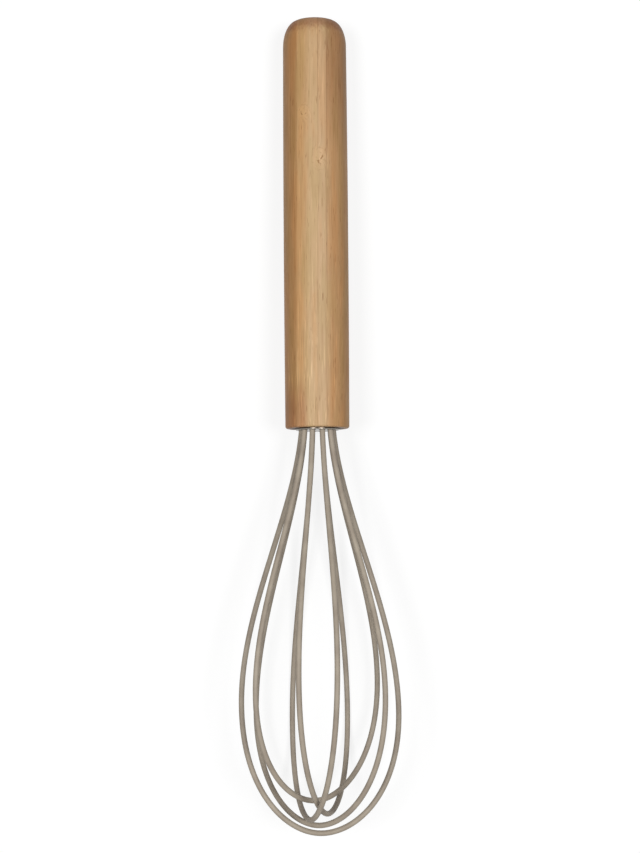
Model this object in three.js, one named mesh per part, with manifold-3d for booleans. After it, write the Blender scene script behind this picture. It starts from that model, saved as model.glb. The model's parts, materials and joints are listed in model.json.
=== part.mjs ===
// A balloon whisk: a turned bamboo handle, a steel end plate, and nested wire loops sleeved in silicone.
// The wires are potted in a blind bore in the handle. All lengths are in millimetres.

import * as THREE from 'three';
import { mergeVertices } from 'three/addons/utils/BufferGeometryUtils.js';
import Module from 'manifold-3d';

// Handle. It swells a little between its ends, and its free end is rounded over to a flat.
const handleDia = 23.8;
const handleLength = 151;
const handleSwell = 0.2;
const domeInset = 4.7;
const domeRise = 9.3;
const mouthRound = 0.8;

// End plate, pressed into the mouth of the bore
const plateDia = 16;
const plateThick = 2;
const plateProud = 0.7;
const plateChamfer = 0.3;

// Bore and potting
const boreDia = 14.6;
const boreDepth = 28;
const drillTip = 3;

// Wire
const coreDia = 1;
const sleeveWall = 0.3;
const sleeveSeat = 9;
const coreSeat = 22;
const holeCircleDia = 11.6;
const splay = THREE.MathUtils.degToRad(5.4);

// Clearances: round a core in its sleeve, and round any piece seated in another
const coreGap = 0.2;
const seatGap = 0.3;

// Balloon. The tip is measured from the handle's end to the outermost wire's centre line.
const balloonLength = 145.8;

// The loops, from the outermost to the innermost at the tip, each with its own set from bending by hand.
// halfWidth and belly: the widest place, out from the axis and down from the handle's end.
// nest: the gap at the tip to the loop before it, where the third and fourth pass side by side.
// bellyAt and tipAt: how far the loop's middle lies off the axis there, along the loop and across it.
// tilt: how much higher one shoulder sits than the middle. twist: turn of the belly from its holes, in degrees.
const loops = [
  { halfWidth: 28.4, belly: 101.3, nest: 0, bellyAt: [0.2, 0.1], tipAt: [0.3, 0.2], tilt: 2, twist: 0 },
  { halfWidth: 28.7, belly: 99.5, nest: 0.8, bellyAt: [0.1, 0.4], tipAt: [-1.4, 0.9], tilt: -3.5, twist: -0.6 },
  { halfWidth: 28.3, belly: 95.8, nest: 0.7, bellyAt: [1.4, 2.5], tipAt: [2.8, 5.1], tilt: -12.3, twist: 0.9 },
  { halfWidth: 27.4, belly: 96.8, nest: -0.2, bellyAt: [0.4, -1.9], tipAt: [0.8, -3.7], tilt: -8.7, twist: 0.6 },
  { halfWidth: 27.1, belly: 93.5, nest: 2.2, bellyAt: [0.2, 0.6], tipAt: [0.3, 1.3], tilt: 0.8, twist: 0.2 },
];

// Fullness of the wire's curves, as shares of the run that each one spans
const fullness = { exit: 0.32, shoulder: 0.34, cheek: 0.68, tip: 0.44 };

// Facets
const handleFacets = 48;
const holeFacets = 12;
const sleeveFacets = 8;
const coreFacets = 6;
const swellSteps = 8;
const legSteps = 12;
const tipSteps = 12;

// Sizes that follow from those above
const handleRadius = handleDia / 2;
const handleEndRadius = handleRadius - handleSwell;
const coreRadius = coreDia / 2;
const sleeveBore = coreRadius + coreGap;
const sleeveRadius = sleeveBore + sleeveWall;
const recessRadius = plateDia / 2 + seatGap;
const recessDepth = plateThick - plateProud + seatGap;
const boreRadius = boreDia / 2;
const holeCircleRadius = holeCircleDia / 2;
const turnStep = Math.PI / loops.length;

const wasm = await Module();
wasm.setup();

const materials = {
  bamboo: { color: 0xbd946a, roughness: 0.5, metalness: 0 },
  steel: { color: 0xb9b6b0, roughness: 0.3, metalness: 1 },
  springSteel: { color: 0xa7a8aa, roughness: 0.35, metalness: 1 },
  silicone: { color: 0x9b8e80, roughness: 0.65, metalness: 0 },
  resin: { color: 0xd8cfae, roughness: 0.4, metalness: 0 },
};

function piece(name, geometry, finish) {
  const mesh = new THREE.Mesh(geometry, new THREE.MeshStandardMaterial(materials[finish]));
  mesh.name = name;
  return mesh;
}

// A closed geometry as a solid for cutting, with shared corners merged and sliver triangles left out.
function toSolid(geometry) {
  const bare = geometry.clone();
  bare.deleteAttribute('normal');
  bare.deleteAttribute('uv');
  const merged = mergeVertices(bare);
  const index = merged.index.array;
  const triangles = [];
  for (let i = 0; i < index.length; i += 3) {
    const [a, b, c] = index.slice(i, i + 3);
    if (a !== b && b !== c && c !== a) triangles.push(a, b, c);
  }
  return new wasm.Manifold(new wasm.Mesh({
    numProp: 3,
    vertProperties: Float32Array.from(merged.attributes.position.array),
    triVerts: Uint32Array.from(triangles),
  }));
}

function cutFrom(geometry, cutters) {
  let solid = toSolid(geometry);
  for (const cutter of cutters) solid = solid.subtract(toSolid(cutter));
  const mesh = solid.getMesh();
  const result = new THREE.BufferGeometry();
  result.setAttribute('position', new THREE.BufferAttribute(mesh.vertProperties, 3));
  result.setIndex(new THREE.BufferAttribute(mesh.triVerts, 1));
  result.computeVertexNormals();
  return result;
}

// A profile of [radius, height] points turned about the whisk's axis, which is Z here.
function turned(profile, facets) {
  const points = profile.map(([r, z]) => new THREE.Vector2(r, z));
  return new THREE.LatheGeometry(points, facets).rotateX(Math.PI / 2);
}

// Points of a quarter ellipse about a centre, from one angle to another.
function quarter([r, z], reach, rise, from, to, count) {
  return new THREE.EllipseCurve(r, z, reach, rise, from, to, from > to)
    .getPoints(count)
    .map((p) => [p.x, p.y]);
}

function rod(from, to, radius, facets) {
  const run = to.clone().sub(from);
  const along = new THREE.Quaternion().setFromUnitVectors(new THREE.Vector3(0, 1, 0), run.clone().normalize());
  const geometry = new THREE.CylinderGeometry(radius, radius, run.length(), facets);
  geometry.applyQuaternion(along);
  const middle = from.clone().lerp(to, 0.5);
  return geometry.translate(middle.x, middle.y, middle.z);
}

function ring(radius, sides) {
  const corner = (_, i) => {
    const angle = (i / sides) * 2 * Math.PI;
    return new THREE.Vector2(radius * Math.cos(angle), radius * Math.sin(angle));
  };
  return Array.from({ length: sides }, corner);
}

// A route through given stations, so that a core and its sleeve bend at the very same places.
class Route extends THREE.Curve {
  constructor(stations) {
    super();
    this.stations = stations;
  }

  getPoint(t, target = new THREE.Vector3()) {
    const last = this.stations.length - 1;
    const i = Math.min(Math.floor(t * last), last - 1);
    return target.lerpVectors(this.stations[i], this.stations[i + 1], t * last - i);
  }

  getPointAt(u, target) {
    return this.getPoint(u, target);
  }

  getTangentAt(u, target) {
    return this.getTangent(u, target);
  }
}

function sweep(section, stations) {
  const route = new Route(stations);
  return new THREE.ExtrudeGeometry(section, { extrudePath: route, steps: stations.length - 1 });
}

// One leg of a loop: its holes' line inside the handle, then the free wire from the plate to the tip.
// The side is 1 or -1 along the loop.
function leg(loop, turn, side, tipDepth) {
  const axis = new THREE.Vector3(0, 0, 1);
  const atHole = new THREE.Vector3(Math.cos(turn), Math.sin(turn), 0);
  const belly = turn + THREE.MathUtils.degToRad(loop.twist);
  const along = new THREE.Vector3(Math.cos(belly), Math.sin(belly), 0);
  const across = new THREE.Vector3(-Math.sin(belly), Math.cos(belly), 0);
  const place = (u, v, z) => new THREE.Vector3(0, 0, z).addScaledVector(along, u).addScaledVector(across, v);

  const exit = new THREE.Vector3(0, 0, plateProud).addScaledVector(atHole, side * holeCircleRadius);
  const heading = axis.clone().multiplyScalar(Math.cos(splay)).addScaledVector(atHole, side * Math.sin(splay));
  const bellyDepth = loop.belly + side * loop.tilt;
  const shoulder = place(side * loop.halfWidth + loop.bellyAt[0], loop.bellyAt[1], bellyDepth);
  const tip = place(loop.tipAt[0], loop.tipAt[1], tipDepth);
  const legRun = bellyDepth - plateProud;
  const tipRun = tipDepth - bellyDepth;

  const side1 = new THREE.CubicBezierCurve3(
    exit,
    exit.clone().addScaledVector(heading, fullness.exit * legRun),
    shoulder.clone().addScaledVector(axis, -fullness.shoulder * legRun),
    shoulder,
  );
  const side2 = new THREE.CubicBezierCurve3(
    shoulder,
    shoulder.clone().addScaledVector(axis, fullness.cheek * tipRun),
    tip.clone().addScaledVector(along, side * fullness.tip * loop.halfWidth),
    tip,
  );
  const inside = (depth) => exit.clone().addScaledVector(heading, -depth);
  const free = [...side1.getPoints(legSteps), ...side2.getPoints(tipSteps).slice(1)];
  return { exit, heading, inside, free };
}

// Both legs of every loop, and each loop's stations from hole to hole
let tipDepth = balloonLength;
const wires = loops.map((loop, i) => {
  if (i > 0) tipDepth -= 2 * sleeveRadius + loop.nest;
  const legs = [1, -1].map((side) => leg(loop, i * turnStep, side, tipDepth));
  const free = [...legs[0].free, ...legs[1].free.reverse().slice(1)];
  const sleeve = [legs[0].inside(sleeveSeat), ...free, legs[1].inside(sleeveSeat)];
  const core = [legs[0].inside(coreSeat), ...sleeve, legs[1].inside(coreSeat)];
  return { legs, sleeve, core };
});
const allLegs = wires.flatMap((wire) => wire.legs);

// Handle: domed free end, round mouth, a recess for the plate and a drilled blind bore
function makeHandle() {
  const butt = -handleLength;
  const swell = new THREE.QuadraticBezierCurve(
    new THREE.Vector2(handleEndRadius, butt + domeRise),
    new THREE.Vector2(handleRadius + handleSwell, (butt + domeRise - mouthRound) / 2),
    new THREE.Vector2(handleEndRadius, -mouthRound),
  );
  const profile = [
    [0, butt],
    ...quarter([handleEndRadius - domeInset, butt + domeRise], domeInset, domeRise, -Math.PI / 2, 0, 9),
    ...swell.getPoints(swellSteps).slice(1, -1).map((p) => [p.x, p.y]),
    ...quarter([handleEndRadius - mouthRound, -mouthRound], mouthRound, mouthRound, 0, Math.PI / 2, 3),
    [recessRadius, 0],
    [recessRadius, -recessDepth],
    [boreRadius, -recessDepth],
    [boreRadius, -boreDepth],
    [0, -boreDepth - drillTip],
  ];
  return turned(profile, handleFacets);
}

// End plate: a chamfered disc with one slanted hole for each leg
function makePlate() {
  const radius = plateDia / 2;
  const back = plateProud - plateThick;
  const disc = turned([
    [0, back],
    [radius, back],
    [radius, plateProud - plateChamfer],
    [radius - plateChamfer, plateProud],
    [0, plateProud],
  ], handleFacets);
  const reach = 2 * plateThick;
  const holes = allLegs.map(({ exit, heading, inside }) => {
    const outer = exit.clone().addScaledVector(heading, reach);
    return rod(inside(reach), outer, sleeveRadius + seatGap, holeFacets);
  });
  return cutFrom(disc, holes);
}

// Potting: fills the bore behind the plate and takes the sleeve ends and the bare wire
function makePlug() {
  const radius = boreRadius - seatGap;
  const front = plateProud - plateThick - seatGap;
  const plug = turned([
    [0, -boreDepth - drillTip + 2 * seatGap],
    [radius, -boreDepth + seatGap],
    [radius, front],
    [0, front],
  ], handleFacets);
  const holes = allLegs.flatMap(({ exit, inside }) => [
    rod(inside(sleeveSeat + seatGap), exit, sleeveRadius + seatGap, holeFacets),
    rod(inside(coreSeat + seatGap), exit, coreRadius + seatGap, holeFacets),
  ]);
  return cutFrom(plug, holes);
}

const whisk = new THREE.Group();
whisk.add(piece('handle', makeHandle(), 'bamboo'));
whisk.add(piece('end_plate', makePlate(), 'steel'));
whisk.add(piece('resin_plug', makePlug(), 'resin'));

const coreSection = new THREE.Shape(ring(coreRadius, coreFacets));
const sleeveSection = new THREE.Shape(ring(sleeveRadius, sleeveFacets));
sleeveSection.holes.push(new THREE.Path(ring(sleeveBore, coreFacets)));
wires.forEach((wire, i) => {
  whisk.add(piece(`wire_core_${i + 1}`, sweep(coreSection, wire.core), 'springSteel'));
  whisk.add(piece(`silicone_sleeve_${i + 1}`, sweep(sleeveSection, wire.sleeve), 'silicone'));
});

// The whisk lies on a table, on the foot of its dome and its lowest wires, with the tip towards -Y.
const domeFoot = domeRise - handleLength;
const slopes = wires.flatMap((wire) => wire.sleeve.map(
  (p) => Math.atan2(sleeveRadius - p.y - handleEndRadius, p.z - domeFoot),
));
whisk.rotation.x = Math.PI / 2 - Math.max(...slopes);

// The origin is on the table, under the middle of the whole
const part = new THREE.Group();
part.add(whisk);
const box = new THREE.Box3().setFromObject(part, true);
const middle = box.getCenter(new THREE.Vector3());
whisk.position.set(-middle.x, -middle.y, -box.min.z);

export default part;
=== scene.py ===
import json
import math

import bmesh
import bpy
from mathutils import Matrix, Vector
from mathutils.geometry import interpolate_bezier


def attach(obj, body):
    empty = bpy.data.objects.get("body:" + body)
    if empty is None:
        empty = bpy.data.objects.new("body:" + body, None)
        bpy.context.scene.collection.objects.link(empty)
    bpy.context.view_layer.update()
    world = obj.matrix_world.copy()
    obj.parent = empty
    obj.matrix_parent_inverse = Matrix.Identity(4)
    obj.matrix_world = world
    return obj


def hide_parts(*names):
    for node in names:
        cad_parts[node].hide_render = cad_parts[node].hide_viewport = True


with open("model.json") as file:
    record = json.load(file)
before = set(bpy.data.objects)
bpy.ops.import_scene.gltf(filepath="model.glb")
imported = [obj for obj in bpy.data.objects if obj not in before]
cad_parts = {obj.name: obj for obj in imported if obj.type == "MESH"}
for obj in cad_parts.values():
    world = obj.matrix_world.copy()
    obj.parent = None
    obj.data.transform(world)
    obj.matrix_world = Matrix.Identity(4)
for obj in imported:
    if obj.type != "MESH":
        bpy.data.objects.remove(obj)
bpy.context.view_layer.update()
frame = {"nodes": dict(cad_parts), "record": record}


# Handle
# A bar of laminated bamboo: split strips glued side by side, then turned on a lathe, sanded and oiled.
# The free end is domed. The other end has a shallow recess for a steel plate and a blind bore for the wires.
MM = 0.001
HANDLE_LENGTH = 151 * MM
HANDLE_RADIUS = 11.9 * MM
# How much thinner the handle is at its two ends than in its middle
HANDLE_SWELL = 0.2 * MM
DOME_INSET = 4.7 * MM
DOME_RISE = 9.3 * MM
MOUTH_ROUND = 0.8 * MM
# A narrow ring beside each rounded edge, which keeps the flat next to it flat to the eye
FLAT_EDGE = 0.06 * MM
RECESS_RADIUS = 8.3 * MM
RECESS_DEPTH = 1.6 * MM
BORE_RADIUS = 7.3 * MM
BORE_DEPTH = 28 * MM
DRILL_TIP = 3 * MM

# The whisk's own frame: its origin is the middle of the handle's wire end, Z runs along the axis to the tip,
# and Y points up off the table. The two mounts of the handle give the axis and its end.
mounts = {mount["name"]: mount for mount in frame["record"]["mounts"]}
to_butt = Vector(mounts["grip"]["axis"]).normalized()
grip_point = Vector(mounts["grip"]["pos_m"])
butt_reach = (Vector(mounts["butt_flat"]["pos_m"]) - grip_point).dot(to_butt)
wire_end = grip_point + to_butt * (butt_reach - HANDLE_LENGTH)
whisk_x = Vector((1, 0, 0))
whisk_y = whisk_x.cross(to_butt)
whisk_frame = Matrix((whisk_x, whisk_y, -to_butt)).transposed().to_4x4()
whisk_frame.translation = wire_end


def linear(hex_colour):
    """A linear RGBA colour from an sRGB hex value."""
    levels = [int(hex_colour[i:i + 2], 16) / 255 for i in (0, 2, 4)]
    return [v / 12.92 if v <= 0.04045 else ((v + 0.055) / 1.055) ** 2.4 for v in levels] + [1.0]


def fill_inputs(tree, node, inputs):
    """Fills a node's inputs, given by name or number: another node's output is linked, a value is set."""
    for socket, value in inputs.items():
        if isinstance(value, bpy.types.NodeSocket):
            tree.links.new(value, node.inputs[socket])
        else:
            node.inputs[socket].default_value = value


def add(tree, kind, inputs=None, stops=None, **settings):
    """Adds a node with its settings, its inputs and its colour stops, and returns its outputs."""
    node = tree.nodes.new(kind)
    for name, value in settings.items():
        setattr(node, name, value)
    fill_inputs(tree, node, inputs or {})
    if stops:
        marks = node.color_ramp.elements
        while len(marks) < len(stops):
            marks.new(0.5)
        for mark, (position, colour) in zip(marks, stops):
            mark.position = position
            mark.color = colour
    return node.outputs


def new_material(name):
    """An empty node material, with its node tree, its shader and the place of each point of its surface."""
    material = bpy.data.materials.new(name)
    material.use_nodes = True
    tree = material.node_tree
    place = add(tree, "ShaderNodeTexCoord")["Object"]
    return material, tree, tree.nodes["Principled BSDF"], place


# Oiled laminated bamboo: long fibres that read as fine streaks, short dark pores, strips of slightly
# different tan with thin glue lines between them, and a mark where the fibres swerve at each old joint of
# the cane. The oil soaks deeper into the cut ends of the fibres, so the free end is darker and redder.
# Round the plate the wood's end is painted dark, as painted shade of the joint. The sizes are millimetres
# in the whisk's own frame.
# Each strip: its left edge across X, half the width over which it blends with the one before, its colour
STRIPS = [
    (-11.9, 0, "AB7F50"), (-7.68, 0.6, "C1996A"), (-3.9, 1.4, "C6A47B"),
    (0.26, 0.2, "C5A37C"), (4.1, 1.5, "B98F63"), (8.6, 1.2, "AC8356"),
]
# Each glue line: its place across X, and the share of light that it leaves. It is brown, so it takes more of
# the green light than of the red, and most of the blue.
GLUE_LINES = [(-7.68, 0.82), (0.26, 0.72), (3.5, 0.62)]
GLUE_HALF = 0.18
GLUE_BROWN = (1, 1.2, 1.5)
# How far the grain strays across the handle for each millimetre along it
GRAIN_SLOPE = 0.0068
# Each kind of streak: its width across the handle, its length along it, and how much finer detail it has
STREAKS = {"fibre": (0.5, 13, 3), "pore": (0.32, 4.5, 1), "split": (0.42, 7, 0), "patch": (5, 30, 2)}
# Marks of the cane's joints, and a stretch with more pores: middle across and along the handle, and half of
# the width and of the height
JOINT_MARKS = [(-4.3, -114.6, 3.1, 3.9), (1.5, -97.6, 3.3, 5.8)]
FLECKED = (6, -139, 3.6, 8)
MORE_PORES = 0.09
# At a joint mark the fibres swerve by up to this much, in eddies of this size
SWERVE = 3.4
EDDY_SIZE = 2
# Dark arcs of fibre run round the mark: how close they are, how uneven, and how long before they break off
ARC_TURNS, ARC_WOBBLE = 12.0, 9.0
BREAK_SIZE = 5 / 3
# How ragged the edge of the dark butt end is
RAGGED = 3.5
# How deep the pores are sunk, against the height of the fibres
PORE_SINK = 0.6
# Nearly all the values of a noise lie between these two
NOISE_LOW, NOISE_HIGH = 0.3, 0.7
# The mix node's colour sockets, by number, because it has other sockets of the same names
MIX_A, MIX_B, MIX_COLOUR = 6, 7, 2

bamboo, tree, shader, place = new_material("oiled_laminated_bamboo")
# These turn a place in the scene into millimetres in the whisk's own frame
whisk_mm = {"Location": wire_end, "Rotation": whisk_frame.to_euler(), "Scale": (MM, MM, MM)}
in_mm = add(tree, "ShaderNodeMapping", {"Vector": place, **whisk_mm}, vector_type="TEXTURE")[0]
sideways, upwards, along = add(tree, "ShaderNodeSeparateXYZ", {0: in_mm})
leaning = add(tree, "ShaderNodeMath", {0: along, 1: GRAIN_SLOPE, 2: sideways}, operation="MULTIPLY_ADD")[0]

# Distance to each mark, which is 1 at its edge, and the fibres' place once the joint marks have bent them
reaches = []
for across, height, half_width, half_height in [*JOINT_MARKS, FLECKED]:
    offset = add(tree, "ShaderNodeVectorMath", {
        0: in_mm,
        1: (1 / half_width, 0, 1 / half_height),
        2: (-across / half_width, 0, -height / half_height),
    }, operation="MULTIPLY_ADD")[0]
    reaches.append(add(tree, "ShaderNodeVectorMath", {0: offset}, operation="LENGTH")["Value"])
first_reach, second_reach, fleck_reach = reaches
nearest = add(tree, "ShaderNodeMath", {0: first_reach, 1: second_reach}, operation="MINIMUM")[0]
swerve = add(tree, "ShaderNodeMapRange", {
    "Value": nearest, "From Min": 0.15, "From Max": 1.1, "To Min": 1.0, "To Max": 0.0,
}, interpolation_type="SMOOTHSTEP")[0]
eddy = add(tree, "ShaderNodeTexNoise", {"Vector": in_mm, "Scale": 1 / EDDY_SIZE, "Detail": 2.0})[0]
push = add(tree, "ShaderNodeMath", {0: swerve, 1: eddy}, operation="MULTIPLY")[0]
bent = add(tree, "ShaderNodeMath", {0: push, 1: SWERVE, 2: leaning}, operation="MULTIPLY_ADD")[0]
fibre_place = add(tree, "ShaderNodeCombineXYZ", {0: bent, 1: upwards, 2: along})[0]

streaks = {}
for name, (width, length, detail) in STREAKS.items():
    drawn_out = add(tree, "ShaderNodeVectorMath", {
        0: fibre_place, 1: (1 / width, 1 / width, 1 / length),
    }, operation="MULTIPLY")[0]
    streaks[name] = add(tree, "ShaderNodeTexNoise", {
        "Vector": drawn_out, "Scale": 1.0, "Detail": detail, "Roughness": 0.55,
    })[0]

# Colour of the strips and of the glue lines between them, from the left edge of the handle to the right one
UNTINTED = (1, 1, 1, 1)
span = 2 * HANDLE_RADIUS / MM
_, _, leftmost = STRIPS[0]
strip_stops = [(0.0, linear(leftmost))]
for (_, _, before), (left, blend, after) in zip(STRIPS, STRIPS[1:]):
    strip_stops.append(((left - blend) / span + 0.5, linear(before)))
    strip_stops.append(((left + blend) / span + 0.5, linear(after)))
glue_stops = [(0.0, UNTINTED)]
for line, light in GLUE_LINES:
    glue_stops.append(((line - GLUE_HALF) / span + 0.5, UNTINTED))
    glue_stops.append((line / span + 0.5, (*[light ** power for power in GLUE_BROWN], 1)))
    glue_stops.append(((line + GLUE_HALF) / span + 0.5, UNTINTED))
from_left = add(tree, "ShaderNodeMath", {0: leaning, 1: 1 / span, 2: 0.5}, operation="MULTIPLY_ADD")[0]
colour = add(tree, "ShaderNodeValToRGB", {0: from_left}, stops=strip_stops)[0]
glue = add(tree, "ShaderNodeValToRGB", {0: from_left}, stops=glue_stops)[0]

# Zones where the wood differs: what each is measured by, where it starts, where it is full, and how it blends
off_axis = add(tree, "ShaderNodeVectorMath", {0: in_mm, 1: (1, 1, 0)}, operation="MULTIPLY")[0]
radius = add(tree, "ShaderNodeVectorMath", {0: off_axis}, operation="LENGTH")["Value"]
ragged = add(tree, "ShaderNodeMath", {0: eddy, 1: RAGGED, 2: along}, operation="MULTIPLY_ADD")[0]
zones = {}
for name, measure, start, full, blending in (
    ("free end", along, -95, -132, "SMOOTHSTEP"),
    ("right strips", bent, 2.3, 3.8, "LINEAR"),
    ("by the mouth", along, -19, -7, "SMOOTHSTEP"),
    ("left strips", bent, -3.2, -4.8, "LINEAR"),
    ("butt end", ragged, -143.2, -146.4, "SMOOTHSTEP"),
    ("mouth face", along, -0.4, -0.05, "SMOOTHSTEP"),
    ("round the plate", radius, 10.2, 9.2, "LINEAR"),
    ("split fibres", along, -70, -20, "LINEAR"),
    ("glue lines", streaks["patch"], 0.38, 0.52, "LINEAR"),
):
    zones[name] = add(tree, "ShaderNodeMapRange", {"Value": measure, "From Min": start, "From Max": full},
                      interpolation_type=blending)[0]
for name, first, second in (
    ("dark side", "free end", "right strips"),
    ("red side", "by the mouth", "left strips"),
    # Painted shade: the wood's end face round the plate is darkened for the shadow of the joint
    ("painted_shade_at_plate", "mouth face", "round the plate"),
):
    zones[name] = add(tree, "ShaderNodeMath", {0: zones[first], 1: zones[second]}, operation="MULTIPLY")[0]

# Tints of the streaks. Like the shades of the zones, each is the share of red, green and blue light that the
# wood still gives back there.
flecks = add(tree, "ShaderNodeMapRange", {
    "Value": fleck_reach, "From Min": 0.3, "From Max": 1.0, "To Min": MORE_PORES, "To Max": 0.0,
})[0]
pores = add(tree, "ShaderNodeMath", {0: streaks["pore"], 1: flecks}, operation="ADD")[0]
patch_tint = add(tree, "ShaderNodeValToRGB", {0: streaks["patch"]}, stops=[
    (0.38, (0.94, 0.96, 0.90, 1)), (0.5, UNTINTED), (0.62, (1.045, 0.98, 0.92, 1)),
])[0]
fibre_tint = add(tree, "ShaderNodeValToRGB", {0: streaks["fibre"]}, stops=[
    (0.32, (0.87, 0.84, 0.80, 1)), (0.48, (0.99, 0.99, 0.99, 1)),
    (0.58, UNTINTED), (0.72, (1.16, 1.18, 1.22, 1)),
])[0]
pore_tint = add(tree, "ShaderNodeValToRGB", {0: pores}, stops=[
    (0.66, UNTINTED), (0.76, (0.68, 0.60, 0.52, 1)),
])[0]
split_tint = add(tree, "ShaderNodeValToRGB", {0: streaks["split"]}, stops=[
    (0.62, UNTINTED), (0.73, (1.2, 1.22, 1.24, 1)),
])[0]
for amount, shade in (
    (zones["split fibres"], split_tint),
    (zones["glue lines"], glue),
    (zones["free end"], (0.97, 0.95, 0.93, 1)),
    (zones["dark side"], (0.80, 0.76, 0.74, 1)),
    (zones["red side"], (0.86, 0.76, 0.78, 1)),
    (zones["butt end"], (0.72, 0.61, 0.60, 1)),
    # Painted shade of the joint round the plate: the end face goes nearly black
    (zones["painted_shade_at_plate"], (0.12, 0.09, 0.06, 1)),
    (swerve, (1.08, 1.07, 1.04, 1)),
    (1.0, patch_tint),
    (1.0, fibre_tint),
    (1.0, pore_tint),
):
    colour = add(tree, "ShaderNodeMix", {0: amount, MIX_A: colour, MIX_B: shade},
                 data_type="RGBA", blend_type="MULTIPLY")[MIX_COLOUR]

# Arcs of dark fibre round each joint mark, broken up by a noise
turns = add(tree, "ShaderNodeMath", {0: nearest, 1: ARC_TURNS}, operation="MULTIPLY")[0]
turns = add(tree, "ShaderNodeMath", {0: eddy, 1: ARC_WOBBLE, 2: turns}, operation="MULTIPLY_ADD")[0]
waves = add(tree, "ShaderNodeMath", {0: turns}, operation="SINE")[0]
arcs = add(tree, "ShaderNodeMapRange", {"Value": waves, "From Min": 0.5, "From Max": 1.0})[0]
breaks = add(tree, "ShaderNodeTexNoise", {"Vector": in_mm, "Scale": 1 / BREAK_SIZE, "Detail": 1.0})[0]
broken = add(tree, "ShaderNodeMapRange", {"Value": breaks, "From Min": 0.44, "From Max": 0.60})[0]
for limit in (broken, swerve):
    arcs = add(tree, "ShaderNodeMath", {0: arcs, 1: limit}, operation="MULTIPLY")[0]
colour = add(tree, "ShaderNodeMix", {0: arcs, MIX_A: colour, MIX_B: linear("9A7348")},
             data_type="RGBA")[MIX_COLOUR]

# The fibres stand a little proud and shine more, and the pores are sunk
polish = add(tree, "ShaderNodeMapRange", {
    "Value": streaks["fibre"], "From Min": NOISE_LOW, "From Max": NOISE_HIGH, "To Min": 0.56, "To Max": 0.44,
})[0]
relief = add(tree, "ShaderNodeMath", {
    0: streaks["pore"], 1: -PORE_SINK, 2: streaks["fibre"],
}, operation="MULTIPLY_ADD")[0]
bump = add(tree, "ShaderNodeBump", {"Height": relief, "Strength": 0.25, "Distance": 0.08 * MM})[0]
fill_inputs(tree, shader, {
    "Base Color": colour, "Roughness": polish, "Normal": bump, "IOR": 1.5, "Specular IOR Level": 0.25,
})

HANDLE_SEGMENTS = 128
DOME_STEPS, SIDE_STEPS, MOUTH_STEPS = 28, 40, 10
# Faces that meet at more than this angle, in degrees, keep a sharp edge between them
SHARP_ANGLE = 40


def quarter_round(centre, reach, rise, start, stop, steps):
    """Points (radius, height) of a quarter ellipse, from one angle in degrees to another."""
    angles = [math.radians(start + (stop - start) * i / steps) for i in range(steps + 1)]
    return [(centre[0] + reach * math.cos(a), centre[1] + rise * math.sin(a)) for a in angles]


def turned(profile, segments):
    """A closed bmesh turned about the whisk's axis from (radius, height) points that start and end on it."""
    mesh = bmesh.new()
    angles = [2 * math.pi * i / segments for i in range(segments)]
    rings = []
    for radius, height in profile:
        if radius == 0:
            rings.append([mesh.verts.new((0, 0, height))] * segments)
        else:
            ring = [(radius * math.cos(a), radius * math.sin(a), height) for a in angles]
            rings.append([mesh.verts.new(point) for point in ring])
    for lower, upper in zip(rings, rings[1:]):
        for i in range(segments):
            j = (i + 1) % segments
            corners = [lower[i], lower[j], upper[j], upper[i]]
            mesh.faces.new(list(dict.fromkeys(corners)))
    return mesh


def new_piece(name, mesh, material):
    """A smooth-shaded piece from a finished bmesh, moved from the whisk's frame to where the whisk lies."""
    data = bpy.data.meshes.new(name)
    bmesh.ops.recalc_face_normals(mesh, faces=mesh.faces)
    mesh.to_mesh(data)
    mesh.free()
    data.transform(whisk_frame)
    data.shade_smooth()
    data.set_sharp_from_angle(angle=math.radians(SHARP_ANGLE))
    data.materials.append(material)
    piece = bpy.data.objects.new(name, data)
    bpy.context.scene.collection.objects.link(piece)
    return piece


butt = -HANDLE_LENGTH
end_radius = HANDLE_RADIUS - HANDLE_SWELL
side_middle = (butt + DOME_RISE - MOUTH_ROUND) / 2
side_half = -MOUTH_ROUND - side_middle
side_shares = [2 * i / SIDE_STEPS - 1 for i in range(1, SIDE_STEPS)]
handle_profile = [
    (0, butt),
    *quarter_round((end_radius - DOME_INSET, butt + DOME_RISE), DOME_INSET, DOME_RISE, -90, 0, DOME_STEPS),
    *[(HANDLE_RADIUS - HANDLE_SWELL * share ** 2, side_middle + side_half * share) for share in side_shares],
    *quarter_round((end_radius - MOUTH_ROUND, -MOUTH_ROUND), MOUTH_ROUND, MOUTH_ROUND, 0, 90, MOUTH_STEPS),
    (end_radius - MOUTH_ROUND - FLAT_EDGE, 0),
    (RECESS_RADIUS, 0),
    (RECESS_RADIUS, -RECESS_DEPTH),
    (BORE_RADIUS, -RECESS_DEPTH),
    (BORE_RADIUS, -BORE_DEPTH),
    (0, -BORE_DEPTH - DRILL_TIP),
]
handle = new_piece("bamboo_handle", turned(handle_profile, HANDLE_SEGMENTS), bamboo)
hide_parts("handle")
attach(handle, "root")


# Wire cores
# Five lengths of spring steel wire, drawn through a die and bent into loops. Their bare ends are potted in
# the handle, and the rest lies inside the silicone, so the CAD solids are kept and only get their metal.

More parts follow.
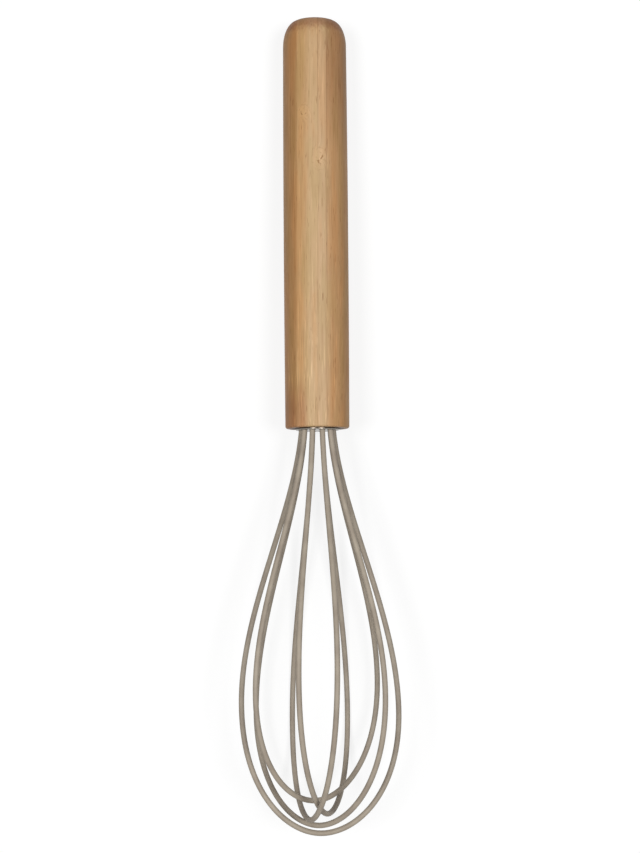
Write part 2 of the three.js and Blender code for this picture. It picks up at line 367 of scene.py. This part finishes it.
# Drawn spring steel: a cold grey metal with fine die marks. It is bare only inside the handle, where the
# sleeves end.
DIE_MARK = 0.3
spring_steel, tree, shader, place = new_material("drawn_spring_steel")
die_marks = add(tree, "ShaderNodeTexNoise", {"Vector": place, "Scale": 1 / (DIE_MARK * MM), "Detail": 2.0})[0]
drawn = add(tree, "ShaderNodeValToRGB", {0: die_marks}, stops=[
    (NOISE_LOW, linear("9FA1A4")), (NOISE_HIGH, linear("B3B5B8")),
])[0]
wear = add(tree, "ShaderNodeMapRange", {"Value": die_marks, "To Min": 0.25, "To Max": 0.42})[0]
bump = add(tree, "ShaderNodeBump", {"Height": die_marks, "Strength": 0.15, "Distance": 0.02 * MM})[0]
fill_inputs(tree, shader, {"Base Color": drawn, "Roughness": wear, "Normal": bump, "Metallic": 1.0})
for name, core in frame["nodes"].items():
    if name.startswith("wire_core_"):
        core.material_slots[0].material = spring_steel


# Silicone sleeves
# A thin coat of silicone, moulded round the wire of each loop. The legs leave the plate evenly round a
# circle, lean outwards to a belly and run round the tip, where the loops pass inside one another.
SLEEVE_RADIUS = 1.0 * MM
SLEEVE_BORE = 0.7 * MM
# How far a sleeve reaches back into the handle from the face of the plate
SLEEVE_SEAT = 9 * MM
HOLE_CIRCLE_RADIUS = 5.8 * MM
# How far the plate stands out of the wood
PLATE_PROUD = 0.7 * MM
SPLAY = math.radians(5.4)
BALLOON_LENGTH = 145.8 * MM
# How far each bend carries on in its own direction, as a share of the run or the width that it shapes
FULL_EXIT, FULL_SHOULDER, FULL_CHEEK, FULL_TIP = 0.32, 0.34, 0.68, 0.44
# For each loop, in millimetres: half width and depth of its belly, gap at the tip to the loop before it, how
# far its belly and its tip lie off the axis (along the loop, across it), the tilt of its shoulders, and its
# twist in degrees
LOOPS = [
    (28.4, 101.3, 0, (0.2, 0.1), (0.3, 0.2), 2, 0),
    (28.7, 99.5, 0.8, (0.1, 0.4), (-1.4, 0.9), -3.5, -0.6),
    (28.3, 95.8, 0.7, (1.4, 2.5), (2.8, 5.1), -12.3, 0.9),
    (27.4, 96.8, -0.2, (0.4, -1.9), (0.8, -3.7), -8.7, 0.6),
    (27.1, 93.5, 2.2, (0.2, 0.6), (0.3, 1.3), 0.8, 0.2),
]
LEG_STEPS, TIP_STEPS = 48, 48
SLEEVE_SIDES, BORE_SIDES = 20, 12

# Matte taupe silicone, moulded and a little soft: a fine even skin with faint cloudiness and no hard
# highlight. The skin's grain is drawn coarser than the real one, so that it shows.
CLOUD_SIZE = 7
SKIN_GRAIN = 0.5
silicone, tree, shader, place = new_material("matte_silicone")
cloud = add(tree, "ShaderNodeTexNoise", {"Vector": place, "Scale": 1 / (CLOUD_SIZE * MM), "Detail": 3.0})[0]
taupe = add(tree, "ShaderNodeValToRGB", {0: cloud}, stops=[
    (NOISE_LOW, linear("968A7C")), (NOISE_HIGH, linear("ABA090")),
])[0]
skin = add(tree, "ShaderNodeTexNoise", {"Vector": place, "Scale": 1 / (SKIN_GRAIN * MM), "Detail": 2.0})[0]
softness = add(tree, "ShaderNodeMapRange", {"Value": skin, "To Min": 0.46, "To Max": 0.60})[0]
bump = add(tree, "ShaderNodeBump", {"Height": skin, "Strength": 0.2, "Distance": 0.04 * MM})[0]
fill_inputs(tree, shader, {
    "Base Color": taupe, "Roughness": softness, "Normal": bump, "IOR": 1.41, "Specular IOR Level": 0.42,
})


def wire_leg(loop, turn, side, tip_depth):
    """The place of one leg's hole, its heading there, and its line from the plate to the tip of the loop."""
    half_width, belly, _, belly_at, tip_at, tilt, twist = loop
    at_hole = Vector((math.cos(turn), math.sin(turn), 0))
    belly_turn = turn + math.radians(twist)
    along = Vector((math.cos(belly_turn), math.sin(belly_turn), 0))
    over = Vector((-math.sin(belly_turn), math.cos(belly_turn), 0))
    to_tip = Vector((0, 0, 1))
    belly_depth = (belly + side * tilt) * MM
    hole = at_hole * side * HOLE_CIRCLE_RADIUS + to_tip * PLATE_PROUD
    heading = to_tip * math.cos(SPLAY) + at_hole * side * math.sin(SPLAY)
    belly_out = along * (side * half_width + belly_at[0]) * MM + over * belly_at[1] * MM
    shoulder = belly_out + to_tip * belly_depth
    tip = along * tip_at[0] * MM + over * tip_at[1] * MM + to_tip * tip_depth
    leg_run = belly_depth - PLATE_PROUD
    tip_run = tip_depth - belly_depth
    leg = interpolate_bezier(hole, hole + heading * FULL_EXIT * leg_run,
                             shoulder - to_tip * FULL_SHOULDER * leg_run, shoulder, LEG_STEPS + 1)
    cheek = interpolate_bezier(shoulder, shoulder + to_tip * FULL_CHEEK * tip_run,
                               tip + along * side * FULL_TIP * half_width * MM, tip, TIP_STEPS + 1)
    return hole, heading, leg + cheek[1:]


def swept_tube(line, radius, bore, sides, bore_sides):
    """A closed tube with a bore along a line of points, its rings carried along without twisting."""
    mesh = bmesh.new()
    normal = (line[1] - line[0]).orthogonal().normalized()
    rings = []
    for i, point in enumerate(line):
        heading = (line[min(i + 1, len(line) - 1)] - line[max(i - 1, 0)]).normalized()
        normal = (normal - heading * normal.dot(heading)).normalized()
        other = heading.cross(normal)
        pair = []
        for reach, count in ((radius, sides), (bore, bore_sides)):
            angles = [2 * math.pi * k / count for k in range(count)]
            spokes = [(normal * math.cos(a) + other * math.sin(a)) * reach for a in angles]
            pair.append([mesh.verts.new(point + spoke) for spoke in spokes])
        rings.append(pair)
    for before, after in zip(rings, rings[1:]):
        for low, high in zip(before, after):
            for i in range(len(low)):
                j = (i + 1) % len(low)
                mesh.faces.new((low[i], low[j], high[j], high[i]))
    for outer, inner in (rings[0], rings[-1]):
        edges = [mesh.edges.get((ring[i - 1], ring[i])) for ring in (outer, inner) for i in range(len(ring))]
        bmesh.ops.bridge_loops(mesh, edges=edges)
    return mesh


holes = []
tip_depth = BALLOON_LENGTH
for i, loop in enumerate(LOOPS):
    tip_gap = loop[2]
    if i > 0:
        tip_depth -= 2 * SLEEVE_RADIUS + tip_gap * MM
    turn = math.pi * i / len(LOOPS)
    hole, heading, leg = wire_leg(loop, turn, 1, tip_depth)
    far_hole, far_heading, far_leg = wire_leg(loop, turn, -1, tip_depth)
    holes += [(hole, heading), (far_hole, far_heading)]
    seat = hole - heading * SLEEVE_SEAT
    far_seat = far_hole - far_heading * SLEEVE_SEAT
    line = [seat, *leg, *reversed(far_leg[:-1]), far_seat]
    tube = swept_tube(line, SLEEVE_RADIUS, SLEEVE_BORE, SLEEVE_SIDES, BORE_SIDES)
    sleeve = new_piece(f"silicone_loop_{i + 1}", tube, silicone)
    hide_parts(f"silicone_sleeve_{i + 1}")
    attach(sleeve, "root")


# End plate
# A stainless-steel disc pressed into the mouth of the bore, with a rounded rim and one slanted hole for each
# leg. It stands a little proud of the wood.
PLATE_RADIUS = 8 * MM
PLATE_THICK = 2 * MM
PLATE_ROUND = 0.35 * MM
RIM_STEPS = 8
HOLE_CLEARANCE = 0.3 * MM
HOLE_RADIUS = SLEEVE_RADIUS + HOLE_CLEARANCE
HOLE_SIDES = 32
DRILL_LENGTH = 4 * PLATE_THICK

# Brushed stainless steel: straight fine scratches from one pass of a belt, which stretch each highlight
# across them. Its grey is set darker than bare steel, as a painted reflection of the shaded table below it.
# A dark line is painted round its foot, where it meets the wood: painted shade of the joint.
BRUSH_WIDTH, BRUSH_LENGTH = 0.12, 6
# How high the painted shade of the joint climbs the plate's side from the wood, in millimetres, and how
# softly it fades
FOOT_SHADE_RISE, FOOT_SHADE_BLUR = 0.3, 0.1
steel, tree, shader, place = new_material("brushed_stainless_steel")
scratched = add(tree, "ShaderNodeVectorMath", {
    0: place, 1: (1 / (BRUSH_LENGTH * MM), 1 / (BRUSH_WIDTH * MM), 1 / (BRUSH_WIDTH * MM)),
}, operation="MULTIPLY")[0]
scratches = add(tree, "ShaderNodeTexNoise", {"Vector": scratched, "Scale": 1.0, "Detail": 2.0})[0]
# A darker grey than bare steel: a painted reflection of the shaded table below
metal = add(tree, "ShaderNodeValToRGB", {0: scratches}, stops=[
    (NOISE_LOW, linear("78736C")), (NOISE_HIGH, linear("8E8981")),
])[0]
in_mm = add(tree, "ShaderNodeMapping", {"Vector": place, **whisk_mm}, vector_type="TEXTURE")[0]
height = add(tree, "ShaderNodeSeparateXYZ", {0: in_mm})[2]
# Painted shade at the plate's foot: its side goes dark brown up to the rise, for the shadow of the joint
painted_shade_at_plate = add(tree, "ShaderNodeMapRange", {
    "Value": height, "From Min": FOOT_SHADE_RISE + FOOT_SHADE_BLUR, "From Max": FOOT_SHADE_RISE - FOOT_SHADE_BLUR,
})[0]
metal = add(tree, "ShaderNodeMix", {0: painted_shade_at_plate, MIX_A: metal, MIX_B: linear("33261A")},
            data_type="RGBA")[MIX_COLOUR]
gloss = add(tree, "ShaderNodeMapRange", {"Value": scratches, "To Min": 0.18, "To Max": 0.30})[0]
bump = add(tree, "ShaderNodeBump", {"Height": scratches, "Strength": 0.15, "Distance": 0.02 * MM})[0]
fill_inputs(tree, shader, {"Base Color": metal, "Roughness": gloss, "Normal": bump, "Metallic": 1.0})

plate_back = PLATE_PROUD - PLATE_THICK
rim_centre = (PLATE_RADIUS - PLATE_ROUND, PLATE_PROUD - PLATE_ROUND)
plate_profile = [
    (0, plate_back),
    (PLATE_RADIUS, plate_back),
    *quarter_round(rim_centre, PLATE_ROUND, PLATE_ROUND, 0, 90, RIM_STEPS),
    (PLATE_RADIUS - PLATE_ROUND - FLAT_EDGE, PLATE_PROUD),
    (0, PLATE_PROUD),
]
# The blank's two flats are made one face each, because the spokes of a fan would leave slivers at the holes
blank = turned(plate_profile, HANDLE_SEGMENTS)
bmesh.ops.dissolve_verts(blank, verts=[vert for vert in blank.verts if vert.co.xy.length == 0])
plate = new_piece("steel_end_plate", blank, steel)
drill = bmesh.new()
for hole, heading in holes:
    lean = heading.to_track_quat("Z", "Y").to_matrix().to_4x4()
    bmesh.ops.create_cone(drill, cap_ends=True, segments=HOLE_SIDES,
                          radius1=HOLE_RADIUS, radius2=HOLE_RADIUS, depth=DRILL_LENGTH,
                          matrix=Matrix.Translation(hole) @ lean)
drills = new_piece("plate_drills", drill, steel)
cut = plate.modifiers.new("holes", "BOOLEAN")
cut.operation = "DIFFERENCE"
cut.solver = "EXACT"
cut.object = drills
bpy.context.view_layer.update()
drilled = bpy.data.meshes.new_from_object(plate.evaluated_get(bpy.context.evaluated_depsgraph_get()))
plate.modifiers.clear()
plate.data = drilled
drilled.shade_smooth()
drilled.set_sharp_from_angle(angle=math.radians(SHARP_ANGLE))
bpy.data.objects.remove(drills)
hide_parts("end_plate")
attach(plate, "root")


# Potting
# Resin cast into the bore behind the plate, where it grips the bare wire ends. Only a trace of it shows, in
# the holes of the plate, so the CAD solid is kept and only gets its material.

# Cast resin: pale amber and a little hazy, with the soft shine of a surface that cured in the open
HAZE_SIZE = 2
resin, tree, shader, place = new_material("cast_resin")
haze = add(tree, "ShaderNodeTexNoise", {"Vector": place, "Scale": 1 / (HAZE_SIZE * MM), "Detail": 3.0})[0]
amber = add(tree, "ShaderNodeValToRGB", {0: haze}, stops=[
    (NOISE_LOW, linear("CDBF97")), (NOISE_HIGH, linear("DED3B0")),
])[0]
cured = add(tree, "ShaderNodeMapRange", {"Value": haze, "To Min": 0.28, "To Max": 0.42})[0]
bump = add(tree, "ShaderNodeBump", {"Height": haze, "Strength": 0.2, "Distance": 0.05 * MM})[0]
fill_inputs(tree, shader, {"Base Color": amber, "Roughness": cured, "Normal": bump})
frame["nodes"]["resin_plug"].material_slots[0].material = resin


# Table
# A large flat board, painted white, on which the whisk lies. It is a bare stage, with no thickness and no
# edge in sight.
TABLE_HALF = 3.0

# Matte white paint: to the camera, and in reflections, it glows to near white, and to full white farther off,
# so that no horizon shows. It throws little light back on the whisk, and keeps its faint shadow.
TABLE_GREY = "818181"
WHITE = "FFFFFF"
# Strength of the glow where it is seen near the whisk, and of the light that it throws back
TABLE_GLOW, TABLE_BOUNCE = 0.8, 0.08
# Distances from the whisk, in metres, between which the glow rises to full white
FADE_START, FADE_END = 0.3, 0.9


def seen_rays(tree):
    """1 for a ray that shows the surface to the camera, also in a mirror or through glass, and else 0."""
    rays = add(tree, "ShaderNodeLightPath")
    seen = rays["Is Camera Ray"]
    for kind in ("Is Glossy Ray", "Is Transmission Ray"):
        seen = add(tree, "ShaderNodeMath", {0: seen, 1: rays[kind]}, operation="ADD", use_clamp=True)[0]
    return seen


table_white, tree, shader, place = new_material("matte_white_paint")
away = add(tree, "ShaderNodeVectorMath", {0: place}, operation="LENGTH")["Value"]
glow = add(tree, "ShaderNodeMapRange", {
    "Value": away, "From Min": FADE_START, "From Max": FADE_END, "To Min": TABLE_GLOW, "To Max": 1.0,
}, interpolation_type="SMOOTHSTEP")[0]
lift = add(tree, "ShaderNodeMapRange", {"Value": seen_rays(tree), "To Min": TABLE_BOUNCE, "To Max": glow})[0]
fill_inputs(tree, shader, {
    "Base Color": linear(TABLE_GREY), "Roughness": 0.9, "Specular IOR Level": 0.0,
    "Emission Color": linear(WHITE), "Emission Strength": lift,
})
table_mesh = bmesh.new()
bmesh.ops.create_grid(table_mesh, x_segments=1, y_segments=1, size=TABLE_HALF)
table_data = bpy.data.meshes.new("table")
table_mesh.to_mesh(table_data)
table_mesh.free()
table_data.materials.append(table_white)
table = bpy.data.objects.new("table", table_data)
bpy.context.scene.collection.objects.link(table)


# Light and camera
# Two round soft lamps hang overhead, one to each side, in a white room that fills in the shadows.
# The camera looks straight down from about 65 cm, with the handle at the top of an upright frame.
LAMP_RADIUS, LAMP_HEIGHT, LAMP_SIDE = 0.25, 1.35, 0.52
LAMP_POWER = 9.4
for name, side in (("left_softbox", -1), ("right_softbox", 1)):
    lamp_data = bpy.data.lights.new(name, "AREA")
    lamp_data.shape = "DISK"
    lamp_data.size = 2 * LAMP_RADIUS
    lamp_data.energy = LAMP_POWER
    lamp = bpy.data.objects.new(name, lamp_data)
    lamp.location = (side * LAMP_SIDE, 0, LAMP_HEIGHT)
    lamp.rotation_euler = (0, side * math.atan2(LAMP_SIDE, LAMP_HEIGHT), 0)
    bpy.context.scene.collection.objects.link(lamp)

ROOM_LIGHT = 0.18
world = bpy.data.worlds.new("white_room")
world.use_nodes = True
bpy.context.scene.world = world
tree = world.node_tree
room = add(tree, "ShaderNodeMapRange", {"Value": seen_rays(tree), "To Min": ROOM_LIGHT, "To Max": 1.0})[0]
fill_inputs(tree, tree.nodes["Background"], {"Color": linear(WHITE), "Strength": room})

CAMERA_PLACE = Vector((1.46, -8.84, 646.7)) * MM
CAMERA_TURN = [math.radians(angle) for angle in (0.665, 0.07, -0.448)]
CAMERA_LENS, SENSOR_WIDTH = 96.47, 36.0
NEAREST_SEEN = 0.01
camera_data = bpy.data.cameras.new("camera")
camera_data.sensor_fit = "HORIZONTAL"
camera_data.sensor_width = SENSOR_WIDTH
camera_data.lens = CAMERA_LENS
camera_data.clip_start = NEAREST_SEEN
camera = bpy.data.objects.new("camera", camera_data)
camera.location = CAMERA_PLACE
camera.rotation_euler = CAMERA_TURN
bpy.context.scene.collection.objects.link(camera)
bpy.context.scene.camera = camera
bpy.context.scene.view_settings.view_transform = "Standard"
